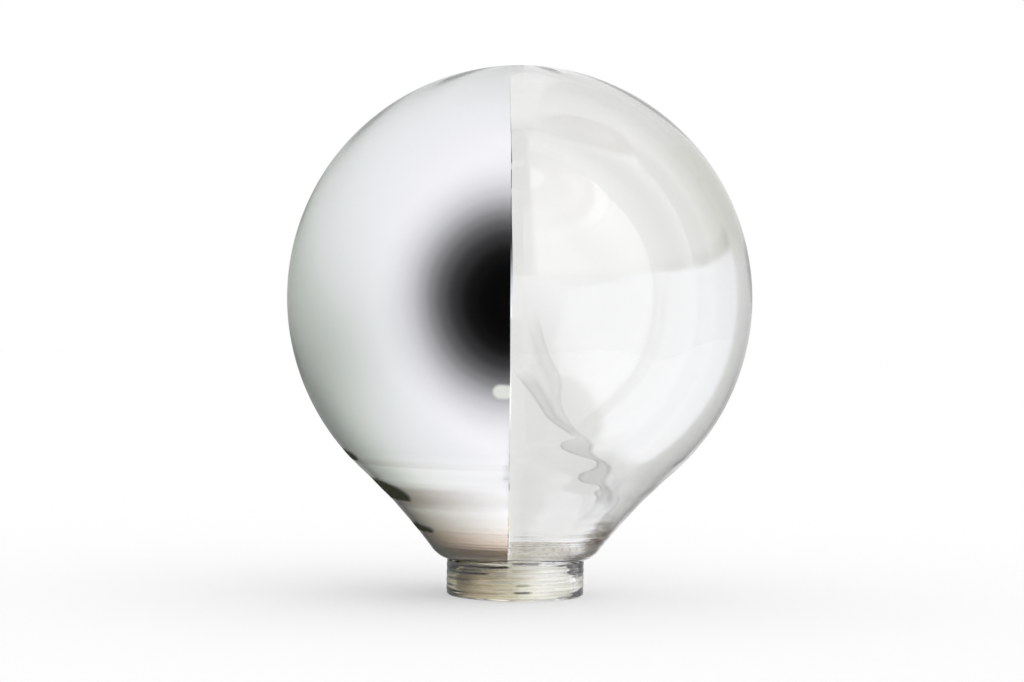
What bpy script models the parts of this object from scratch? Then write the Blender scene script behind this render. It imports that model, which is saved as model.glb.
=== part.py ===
"""Side mirror globe: the loose clear glass of a modular lamp, silvered on one side.

Metres, +Z up. The origin is on the globe's axis, in the flat foot face that the
glass stands on. The silvered side is -X, and the photograph looks along +Y.
"""
import math

import bmesh
import bpy
from mathutils import Vector

# Blown glass: a globe, a hollow flank that leads down to a rounded shoulder, and a plain neck
GLOBE_DIAMETER = 0.125
GLOBE_LIFT = 0.008
FLANK_RADIUS = 0.158
SHOULDER_RADIUS = 0.0074
NECK_ROOT_RADIUS = 0.0006
NECK_END_HEIGHT = 0.0008
GLASS_WALL = 0.0009

# Silvering on the inner wall, drawn thicker than the real coating
MIRROR_THICKNESS = 0.0003
MIRROR_EDGE_OFFSET = 0.00245

# Moulded collar with a fine male thread, right-handed
COLLAR_HEIGHT = 0.0092
COLLAR_WALL = 0.00195
FOOT_CHAMFER = 0.0006
THREAD_DIAMETER = 0.037
THREAD_PITCH = 0.002
THREAD_DEPTH = 0.00025

# Form of the thread's groove, as shares of the pitch and of the depth
GROOVE_FLOOR_SHARE = 0.25
GROOVE_MOUTH_SHARE = 0.75
GROOVE_OVERSHOOT_SHARE = 0.25

# Clearances between pieces that touch on the real object
SEAT_CLEARANCE = 0.0003
BOND_CLEARANCE = 0.0003
MIRROR_CLEARANCE = 0.0003

# Fineness of the round forms
STEPS_AROUND = 48
GLOBE_STEPS = 20
FLANK_STEPS = 5
SHOULDER_STEPS = 5
NECK_ROOT_STEPS = 3
SMOOTH_ANGLE = math.radians(35)
MERGE_DISTANCE = 0.00001

# Sizes and places that follow from those above
GLOBE_RADIUS = GLOBE_DIAMETER / 2
THREAD_ROOT_RADIUS = THREAD_DIAMETER / 2 - THREAD_DEPTH
COLLAR_BORE_RADIUS = THREAD_ROOT_RADIUS - COLLAR_WALL
NECK_RADIUS = COLLAR_BORE_RADIUS - BOND_CLEARANCE
SHOULDER_FOOT_HEIGHT = COLLAR_HEIGHT + SEAT_CLEARANCE
SHOULDER_FOOT_RADIUS = NECK_RADIUS + NECK_ROOT_RADIUS
MIRROR_INSET = GLASS_WALL + MIRROR_CLEARANCE

# Centres of the two circles that the flank runs between, as distance from the axis and height
GLOBE_CENTRE = Vector((0.0, SHOULDER_FOOT_HEIGHT + GLOBE_LIFT + GLOBE_RADIUS))
SHOULDER_CENTRE = Vector((SHOULDER_FOOT_RADIUS, SHOULDER_FOOT_HEIGHT + SHOULDER_RADIUS))

GLASS_COLOUR = (0.93, 0.95, 0.95, 1.0)
SILVER_COLOUR = (0.91, 0.92, 0.92, 1.0)
COLLAR_COLOUR = (0.86, 0.84, 0.74, 1.0)
GLASS_ROUGHNESS = 0.0
SILVER_ROUGHNESS = 0.03
COLLAR_ROUGHNESS = 0.12


def clear_scene():
    """Remove every object that the file starts with."""
    for thing in list(bpy.data.objects):
        bpy.data.objects.remove(thing, do_unlink=True)


def new_collection(name):
    """Add an empty collection to the scene."""
    collection = bpy.data.collections.new(name)
    bpy.context.scene.collection.children.link(collection)
    return collection


def new_material(name, colour, roughness, metallic=0.0, transmission=0.0):
    """Make a Principled material with the finish of one piece."""
    material = bpy.data.materials.new(name)
    material.use_nodes = True
    shader = material.node_tree.nodes["Principled BSDF"]
    shader.inputs["Base Color"].default_value = colour
    shader.inputs["Roughness"].default_value = roughness
    shader.inputs["Metallic"].default_value = metallic
    shader.inputs["Transmission Weight"].default_value = transmission
    return material


def new_object(name, mesh, collection, material=None):
    """Put a mesh in a collection as an object of the same name."""
    thing = bpy.data.objects.new(name, mesh)
    collection.objects.link(thing)
    if material is not None:
        mesh.materials.append(material)
    return thing


def arc(centre, radius, start, end, steps):
    """Points of a round stretch of an outline, with angles measured from outward to upward."""
    points = []
    for step in range(steps + 1):
        angle = start + (end - start) * step / steps
        points.append(centre + radius * Vector((math.cos(angle), math.sin(angle))))
    return points


def bearing(centre, point):
    """Angle at which a centre sees a point, from 0 to a full turn."""
    way = point - centre
    return math.atan2(way.y, way.x) % (2 * math.pi)


def flank_centre():
    """Centre of the hollow arc that touches the globe's circle and the shoulder's from outside."""
    between = SHOULDER_CENTRE - GLOBE_CENTRE
    distance = between.length
    from_globe = GLOBE_RADIUS + FLANK_RADIUS
    from_shoulder = SHOULDER_RADIUS + FLANK_RADIUS
    along = (from_globe**2 - from_shoulder**2 + distance**2) / (2 * distance)
    aside = math.sqrt(from_globe**2 - along**2)
    direction = between / distance
    outward = Vector((-direction.y, direction.x))
    return GLOBE_CENTRE + along * direction + aside * outward


def globe_outline(inset):
    """Outline from the crown to the foot of the shoulder, moved into the glass by an inset."""
    flank = flank_centre()
    globe_foot = bearing(GLOBE_CENTRE, flank) - 2 * math.pi
    shoulder_top = bearing(SHOULDER_CENTRE, flank) - 2 * math.pi
    flank_top = bearing(flank, GLOBE_CENTRE)
    flank_foot = bearing(flank, SHOULDER_CENTRE)
    crown = math.pi / 2
    down = -math.pi / 2
    points = arc(GLOBE_CENTRE, GLOBE_RADIUS - inset, crown, globe_foot, GLOBE_STEPS)
    points += arc(flank, FLANK_RADIUS + inset, flank_top, flank_foot, FLANK_STEPS)[1:]
    points += arc(SHOULDER_CENTRE, SHOULDER_RADIUS - inset, shoulder_top, down, SHOULDER_STEPS)[1:]
    points[0].x = 0.0
    return points


def neck_outline(inset):
    """Outline round the hollow corner under the shoulder and down the neck."""
    corner = Vector((SHOULDER_FOOT_RADIUS, SHOULDER_FOOT_HEIGHT - NECK_ROOT_RADIUS))
    points = arc(corner, NECK_ROOT_RADIUS + inset, math.pi / 2, math.pi, NECK_ROOT_STEPS)[1:]
    points.append(Vector((NECK_RADIUS - inset, NECK_END_HEIGHT)))
    return points


def collar_outline():
    """Section of the collar before its thread is cut, run down the outer side first."""
    outer = THREAD_DIAMETER / 2
    return [
        Vector((outer, COLLAR_HEIGHT)),
        Vector((outer, FOOT_CHAMFER)),
        Vector((outer - FOOT_CHAMFER, 0.0)),
        Vector((COLLAR_BORE_RADIUS, 0.0)),
        Vector((COLLAR_BORE_RADIUS, COLLAR_HEIGHT)),
    ]


def turned_object(name, outline, collection, material, closed=False):
    """Turn an outline about the Z axis with a Screw modifier."""
    mesh = bpy.data.meshes.new(name)
    vertices = [(point.x, 0.0, point.y) for point in outline]
    edges = [(index, index + 1) for index in range(len(vertices) - 1)]
    if closed:
        edges.append((len(vertices) - 1, 0))
    mesh.from_pydata(vertices, edges, [])
    thing = new_object(name, mesh, collection, material)
    screw = thing.modifiers.new("turn", "SCREW")
    screw.axis = "Z"
    screw.angle = 2 * math.pi
    screw.steps = STEPS_AROUND
    screw.render_steps = STEPS_AROUND
    screw.use_merge_vertices = True
    screw.merge_threshold = MERGE_DISTANCE
    return thing


def cut(thing, cutter):
    """Take a cutter away from a piece, and show the cutter as wire only."""
    boolean = thing.modifiers.new(cutter.name, "BOOLEAN")
    boolean.operation = "DIFFERENCE"
    boolean.solver = "EXACT"
    boolean.object = cutter
    cutter.hide_render = True
    cutter.display_type = "WIRE"


def finish(thing):
    """Keep a piece's evaluated mesh, welded, and shaded smooth apart from its real edges."""
    graph = bpy.context.evaluated_depsgraph_get()
    mesh = bpy.data.meshes.new_from_object(thing.evaluated_get(graph))
    thing.modifiers.clear()
    shape = bmesh.new()
    shape.from_mesh(mesh)
    bmesh.ops.remove_doubles(shape, verts=shape.verts, dist=MERGE_DISTANCE)
    shape.to_mesh(mesh)
    shape.free()
    thing.data = mesh
    mesh.shade_smooth()
    mesh.set_sharp_from_angle(angle=SMOOTH_ANGLE)


def groove_section(turn):
    """Four corners of the thread groove at a number of turns above the first one."""
    height = (turn - 1.0) * THREAD_PITCH
    floor = THREAD_PITCH * GROOVE_FLOOR_SHARE / 2
    mouth = THREAD_PITCH * GROOVE_MOUTH_SHARE / 2
    mouth += (mouth - floor) * GROOVE_OVERSHOOT_SHARE
    outside = THREAD_DIAMETER / 2 + THREAD_DEPTH * GROOVE_OVERSHOOT_SHARE
    corners = [
        (THREAD_ROOT_RADIUS, height - floor),
        (outside, height - mouth),
        (outside, height + mouth),
        (THREAD_ROOT_RADIUS, height + floor),
    ]
    angle = 2 * math.pi * turn
    return [(radius * math.cos(angle), radius * math.sin(angle), z) for radius, z in corners]


def make_groove_cutter(tools):
    """Helical groove that runs out past both ends of the collar."""
    turns = math.ceil(COLLAR_HEIGHT / THREAD_PITCH) + 2
    shape = bmesh.new()
    rings = []
    for step in range(turns * STEPS_AROUND + 1):
        corners = groove_section(step / STEPS_AROUND)
        rings.append([shape.verts.new(corner) for corner in corners])
    for lower, upper in zip(rings, rings[1:]):
        for side in range(4):
            beside = (side + 1) % 4
            shape.faces.new((lower[side], lower[beside], upper[beside], upper[side]))
    shape.faces.new(reversed(rings[0]))
    shape.faces.new(rings[-1])
    bmesh.ops.recalc_face_normals(shape, faces=shape.faces)
    mesh = bpy.data.meshes.new("thread_groove_cutter")
    shape.to_mesh(mesh)
    shape.free()
    return new_object("thread_groove_cutter", mesh, tools)


def make_clear_side_cutter(tools):
    """Block over the side that stays clear, with its face in the mirror's edge plane."""
    size = 2 * GLOBE_DIAMETER
    shape = bmesh.new()
    bmesh.ops.create_cube(shape, size=size)
    place = (size / 2 - MIRROR_EDGE_OFFSET, 0.0, GLOBE_CENTRE.y)
    bmesh.ops.translate(shape, verts=shape.verts, vec=place)
    mesh = bpy.data.meshes.new("clear_side_cutter")
    shape.to_mesh(mesh)
    shape.free()
    return new_object("clear_side_cutter", mesh, tools)


def make_globe_glass(parts):
    """One blown wall, from the crown to the plain neck inside the collar."""
    material = new_material("clear_blown_glass", GLASS_COLOUR, GLASS_ROUGHNESS, transmission=1.0)
    outer = globe_outline(0.0) + neck_outline(0.0)
    inner = globe_outline(GLASS_WALL) + neck_outline(GLASS_WALL)
    globe = turned_object("globe_glass", outer + inner[::-1], parts, material)
    finish(globe)


def make_mirror_film(parts, tools):
    """Silvering on the inner wall, ended by an upright plane beside the axis."""
    material = new_material("silvered_inner_wall", SILVER_COLOUR, SILVER_ROUGHNESS, metallic=1.0)
    outer = globe_outline(MIRROR_INSET)
    inner = globe_outline(MIRROR_INSET + MIRROR_THICKNESS)
    film = turned_object("mirror_film", outer + inner[::-1], parts, material)
    cut(film, make_clear_side_cutter(tools))
    finish(film)


def make_threaded_collar(parts, tools):
    """Clear moulded ring round the glass neck, threaded from end to end."""
    material = new_material("clear_moulded_collar", COLLAR_COLOUR, COLLAR_ROUGHNESS, transmission=1.0)
    collar = turned_object("threaded_collar", collar_outline(), parts, material, closed=True)
    cut(collar, make_groove_cutter(tools))
    finish(collar)


def main():
    """Build every piece."""
    clear_scene()
    parts = new_collection("side_mirror_globe")
    tools = new_collection("tools")
    make_globe_glass(parts)
    make_mirror_film(parts, tools)
    make_threaded_collar(parts, tools)


main()
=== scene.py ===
"""Dressed model of a half-silvered lamp globe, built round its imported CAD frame.

Metres, +Z up. The silvered half of the globe faces -X, and the camera looks
along +Y. Every shape is a turned or swept grid of points, worked out from the
frame's own boxes and from a few driving sizes.
"""

import logging
import math
from dataclasses import dataclass
from enum import Enum
from typing import Any, Sequence

import bmesh
import bpy
import numpy as np
from mathutils import Matrix, Vector

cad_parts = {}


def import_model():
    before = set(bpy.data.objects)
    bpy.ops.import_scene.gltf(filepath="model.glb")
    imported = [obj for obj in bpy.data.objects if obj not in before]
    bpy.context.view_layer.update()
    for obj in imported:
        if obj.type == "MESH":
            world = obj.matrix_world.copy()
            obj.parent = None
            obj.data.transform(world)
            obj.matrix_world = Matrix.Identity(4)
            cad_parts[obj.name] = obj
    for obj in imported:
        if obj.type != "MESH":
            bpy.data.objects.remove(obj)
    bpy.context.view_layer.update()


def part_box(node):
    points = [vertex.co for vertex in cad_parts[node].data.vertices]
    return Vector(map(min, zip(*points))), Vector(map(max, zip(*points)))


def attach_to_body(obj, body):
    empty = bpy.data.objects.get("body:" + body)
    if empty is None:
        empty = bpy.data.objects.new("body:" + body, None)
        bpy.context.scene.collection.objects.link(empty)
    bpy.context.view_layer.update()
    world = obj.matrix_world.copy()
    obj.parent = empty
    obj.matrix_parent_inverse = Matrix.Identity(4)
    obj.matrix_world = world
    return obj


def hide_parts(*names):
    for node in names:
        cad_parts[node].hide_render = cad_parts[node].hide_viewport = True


MM = 0.001
BODY = "root"
LOG = logging.getLogger("mirror_globe")
FULL_TURN = 2 * math.pi
Colour = tuple[float, float, float, float]
Span = tuple[float, float]

# Sizes of the CAD that its boxes don't give
BOND_GAP = 0.3 * MM
COLLAR_WALL = 1.95 * MM
THREAD_ROOT_DEPTH = 0.25 * MM
# Gap that the dressed glass keeps to the dressed collar
DRESSED_GAP = 0.05 * MM


class Node(Enum):
    """Kinds of shader node that the finishes and the studio use."""

    BACKGROUND = "ShaderNodeBackground"
    BUMP = "ShaderNodeBump"
    COORDINATES = "ShaderNodeTexCoord"
    CURVE = "ShaderNodeFloatCurve"
    DIFFUSE = "ShaderNodeBsdfDiffuse"
    LIGHT_PATH = "ShaderNodeLightPath"
    MAPPING = "ShaderNodeMapping"
    MATH = "ShaderNodeMath"
    MIX_COLOUR = "ShaderNodeMix"
    MIX_SHADER = "ShaderNodeMixShader"
    NOISE = "ShaderNodeTexNoise"
    RAMP = "ShaderNodeValToRGB"
    RANGE = "ShaderNodeMapRange"
    SEPARATE = "ShaderNodeSeparateXYZ"
    TRANSPARENT = "ShaderNodeBsdfTransparent"
    VECTOR_MATH = "ShaderNodeVectorMath"
    WORLD_OUTPUT = "ShaderNodeOutputWorld"


class Wall(Enum):
    """The two faces of the blown wall."""

    OUTER = "outer"
    INNER = "inner"


def linear(code: str) -> Colour:
    """Turn an sRGB hex colour into linear light.

    Args:
        code: Six hex digits, red first.

    Returns:
        Red, green, blue and an alpha of one.
    """
    parts = [int(code[start:start + 2], 16) / 255 for start in (0, 2, 4)]
    light = [part / 12.92 if part <= 0.04045 else ((part + 0.055) / 1.055) ** 2.4 for part in parts]
    return (light[0], light[1], light[2], 1.0)


def grey(level: float) -> Colour:
    """Give the grey of a level of linear light."""
    return (level, level, level, 1.0)


def add_node(tree: bpy.types.NodeTree, kind: Node, settings: dict[str, Any] | None = None,
             inputs: dict[Any, Any] | None = None) -> bpy.types.Node:
    """Add one shader node with its settings and links.

    Args:
        tree: Node tree that takes the node.
        kind: Kind of node.
        settings: Values for the node's own properties.
        inputs: For each input name or number, a value, or what to link from.

    Returns:
        The new node.
    """
    node = tree.nodes.new(kind.value)
    for name, value in (settings or {}).items():
        setattr(node, name, value)
    fill_inputs(tree, node, inputs or {})
    return node


def fill_inputs(tree: bpy.types.NodeTree, node: bpy.types.Node, inputs: dict[Any, Any]) -> None:
    """Set or link the inputs of a node.

    Args:
        tree: Node tree that holds the node.
        node: The node.
        inputs: For each input name or number, a value, or what to link from.
    """
    for name, value in inputs.items():
        if isinstance(value, (Signal, Tint)):
            value = value.value
        if isinstance(value, bpy.types.NodeSocket):
            tree.links.new(value, node.inputs[name])
        else:
            node.inputs[name].default_value = value


class Tint:
    """A colour that a shader works out, or a fixed colour to start from."""

    def __init__(self, tree: bpy.types.NodeTree, value: bpy.types.NodeSocket | Colour) -> None:
        """Keep the colour and the node tree that its next steps go to."""
        self.tree = tree
        self.value = value

    def mix(self, share: Any, other: Any, way: str = "MIX") -> "Tint":
        """Mix another colour in.

        Args:
            share: Share of the other colour, as a number or a signal.
            other: The other colour, fixed or worked out.
            way: How the other colour acts on this one.

        Returns:
            The mixed colour.
        """
        settings = {"data_type": "RGBA", "blend_type": way}
        node = add_node(self.tree, Node.MIX_COLOUR, settings, {0: share, 6: self, 7: other})
        return Tint(self.tree, node.outputs[2])

    def __mul__(self, other: Any) -> "Tint":
        """Multiply by another colour, a grey level or a signal."""
        return self.mix(1.0, grey(other) if isinstance(other, float) else other, "MULTIPLY")

    def level(self) -> "Signal":
        """Read a grey as a number."""
        return Signal(self.tree, self.value)


class Signal:
    """A number that a shader works out. Each operator adds one step to the node tree."""

    def __init__(self, tree: bpy.types.NodeTree, value: bpy.types.NodeSocket) -> None:
        """Keep the socket that gives the number, and its node tree."""
        self.tree = tree
        self.value = value

    def step(self, operation: str, *others: Any, clamp: bool = False) -> "Signal":
        """Add one step of arithmetic that starts from this number.

        Args:
            operation: Name of the step.
            others: Further numbers or signals that it works on.
            clamp: Whether the result is kept between 0 and 1.

        Returns:
            The result.
        """
        settings = {"operation": operation, "use_clamp": clamp}
        node = add_node(self.tree, Node.MATH, settings, dict(enumerate([self, *others])))
        return Signal(self.tree, node.outputs[0])

    def __add__(self, other: Any) -> "Signal":
        """Add a number or a signal."""
        return self.step("ADD", other)

    def __sub__(self, other: Any) -> "Signal":
        """Take a number or a signal away."""
        return self.step("SUBTRACT", other)

    def __mul__(self, other: Any) -> "Signal":
        """Multiply by a number or a signal."""
        return self.step("MULTIPLY", other)

    def __truediv__(self, other: Any) -> "Signal":
        """Divide by a number or a signal."""
        return self.step("DIVIDE", other)

    def __pow__(self, other: Any) -> "Signal":
        """Raise to a power."""
        return self.step("POWER", other)

    def __neg__(self) -> "Signal":
        """Turn the sign round."""
        return self.step("MULTIPLY", -1.0)

    def __abs__(self) -> "Signal":
        """Drop the sign."""
        return self.step("ABSOLUTE")

    def __lt__(self, other: float) -> "Signal":
        """Give 1 below a limit and 0 above it."""
        return self.step("LESS_THAN", other)

    def __gt__(self, other: float) -> "Signal":
        """Give 1 above a limit and 0 below it."""
        return self.step("GREATER_THAN", other)

    def rest(self) -> "Signal":
        """Give what is left to 1."""
        return -self + 1.0

    def toward(self, other: "Signal", share: "Signal") -> "Signal":
        """Move towards another signal by a share."""
        return (other - self) * share + self

    def between(self, span: Span, top: float = 1.0, smooth: bool = True) -> "Signal":
        """Let a factor rise from 0 at one value of this signal to its top at another.

        Args:
            span: Value at which the factor is 0, and value at which it has its top, in either order.
            top: Highest factor.
            smooth: Whether the rise eases in and out.

        Returns:
            The factor.
        """
        settings = {"interpolation_type": "SMOOTHSTEP" if smooth else "LINEAR"}
        inputs = {"Value": self, "From Min": span[0], "From Max": span[1], "To Min": 0.0, "To Max": top}
        return Signal(self.tree, add_node(self.tree, Node.RANGE, settings, inputs).outputs[0])

    def ramp(self, stops: Sequence[tuple[float, Colour | float]], run: str = "LINEAR") -> Tint:
        """Turn a factor into a colour by a few chosen stops.

        Args:
            stops: Pairs of place, from 0 to 1, and colour or grey level, in rising order.
            run: How the colours between two stops run.

        Returns:
            The colour.
        """
        node = add_node(self.tree, Node.RAMP, inputs={"Fac": self})
        band = node.color_ramp
        band.interpolation = run
        while len(band.elements) < len(stops):
            band.elements.new(0.5)
        for element, (place, colour) in zip(band.elements, stops):
            element.position = place
            element.color = grey(colour) if isinstance(colour, float) else colour
        return Tint(self.tree, node.outputs["Color"])


class Place:
    """Where a shaded point lies: across, away from the camera and high, and how far from the axis."""

    def __init__(self, tree: bpy.types.NodeTree) -> None:
        """Read the point's place in a material's node tree."""
        self.tree = tree
        self.vector = add_node(tree, Node.COORDINATES).outputs["Object"]
        parts = add_node(tree, Node.SEPARATE, inputs={0: self.vector}).outputs
        self.x, self.y, self.height = (Signal(tree, part) for part in parts)
        self.radius = (self.x * self.x + self.y * self.y).step("SQRT")

    def noise(self, scale: tuple[float, float, float]) -> Signal:
        """Give a noise, stretched along some directions.

        Args:
            scale: Noise cells in a metre along X, Y and Z.

        Returns:
            The noise, about 0.5 on average.
        """
        scaled = add_node(self.tree, Node.MAPPING, inputs={"Vector": self.vector, "Scale": scale})
        inputs = {"Vector": scaled.outputs[0], "Scale": 1.0, "Detail": 2.0}
        return Signal(self.tree, add_node(self.tree, Node.NOISE, inputs=inputs).outputs[0])


def new_material(name: str) -> tuple[bpy.types.Material, bpy.types.NodeTree, bpy.types.Node]:
    """Make a material with a Principled shader.

    Args:
        name: Name of the real material and its surface.

    Returns:
        The material, its node tree and its shader.
    """
    material = bpy.data.materials.new(name)
    material.use_nodes = True
    tree = material.node_tree
    return material, tree, tree.nodes["Principled BSDF"]


def pass_light(tree: bpy.types.NodeTree, shader: bpy.types.Node, share: float, tint: Colour) -> None:
    """Let part of the light that the floor gathers pass straight through a piece.

    Args:
        tree: The material's node tree.
        shader: The shader that every other ray meets.
        share: Share of the floor's rays that pass.
        tint: Colour that they keep.
    """
    path = add_node(tree, Node.LIGHT_PATH).outputs
    soft = Signal(tree, path["Is Diffuse Ray"]).step("MAXIMUM", path["Is Shadow Ray"])
    clear = add_node(tree, Node.TRANSPARENT, inputs={"Color": tint})
    mix = add_node(tree, Node.MIX_SHADER, inputs={0: soft * share, 1: shader.outputs[0], 2: clear.outputs[0]})
    output = next(node for node in tree.nodes if node.type == "OUTPUT_MATERIAL")
    tree.links.new(mix.outputs[0], output.inputs["Surface"])


def grid_object(name: str, points: np.ndarray, wraps: bool, closes: bool) -> bpy.types.Object:
    """Make a mesh object from a grid of points.

    Args:
        name: Name of the object.
        points: Array of rows by columns by three. Rows run along the outline, columns round the axis.
        wraps: Whether the last column joins the first.
        closes: Whether the last row joins the first.

    Returns:
        The new object.
    """
    rows, columns, _ = points.shape
    row_ends = rows if closes else rows - 1
    column_ends = columns if wraps else columns - 1
    row, column = np.meshgrid(np.arange(row_ends), np.arange(column_ends), indexing="ij")
    next_row, next_column = (row + 1) % rows, (column + 1) % columns
    corners = [row * columns + column, next_row * columns + column,
               next_row * columns + next_column, row * columns + next_column]
    faces = np.stack(corners, axis=-1).reshape(-1, 4)
    mesh = bpy.data.meshes.new(name)
    mesh.from_pydata(points.reshape(-1, 3).tolist(), [], faces.tolist())
    mesh.update()
    thing = bpy.data.objects.new(name, mesh)
    bpy.context.scene.collection.objects.link(thing)
    return thing


def tidy_mesh(thing: bpy.types.Object, sharp_angle: float) -> None:
    """Join points that meet, close open ends, turn the faces outward and shade the piece smooth.

    Args:
        thing: Piece to finish.
        sharp_angle: Edges bent by more than this angle, in radians, stay sharp.
    """
    shape = bmesh.new()
    shape.from_mesh(thing.data)
    bmesh.ops.remove_doubles(shape, verts=shape.verts, dist=0.001 * MM)
    open_edges = [edge for edge in shape.edges if edge.is_boundary]
    if open_edges:
        filled = bmesh.ops.holes_fill(shape, edges=open_edges)["faces"]
        bmesh.ops.triangulate(shape, faces=filled)
    bmesh.ops.recalc_face_normals(shape, faces=shape.faces)
    shape.to_mesh(thing.data)
    shape.free()
    thing.data.shade_smooth()
    thing.data.set_sharp_from_angle(angle=sharp_angle)


def attach(piece: bpy.types.Object, node: str) -> None:
    """Let a piece stand for its CAD node.

    Args:
        piece: The dressed piece.
        node: Name of the CAD node.
    """
    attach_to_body(piece, BODY)
    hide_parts(node)


@dataclass(frozen=True)
class Wave:
    """One slow wave round a blown wall: its share, its count round the axis, its climb and its start."""

    share: float
    count: int
    climb: float
    start: float

    def at(self, turns: np.ndarray, level: np.ndarray | float) -> np.ndarray:
        """Give the wave at each point."""
        return self.share * np.sin(self.count * turns + self.climb * level + self.start)


@dataclass(frozen=True)
class BlowRing:
    """A shallow ring that blowing left round the flank."""

    height: float
    depth: float
    pitch: float
    wander: float = 0.06
    reach: float = 0.45

    def at(self, heights: np.ndarray, turns: np.ndarray) -> np.ndarray:
        """Give how far the ring moves each point outward."""
        shift = self.wander * self.pitch * np.sin(2 * turns + 100 * self.height)
        offset = (heights - self.height - shift) / self.pitch
        return self.depth * np.sin(FULL_TURN * offset) * np.exp(-(offset / self.reach) ** 2)


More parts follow.
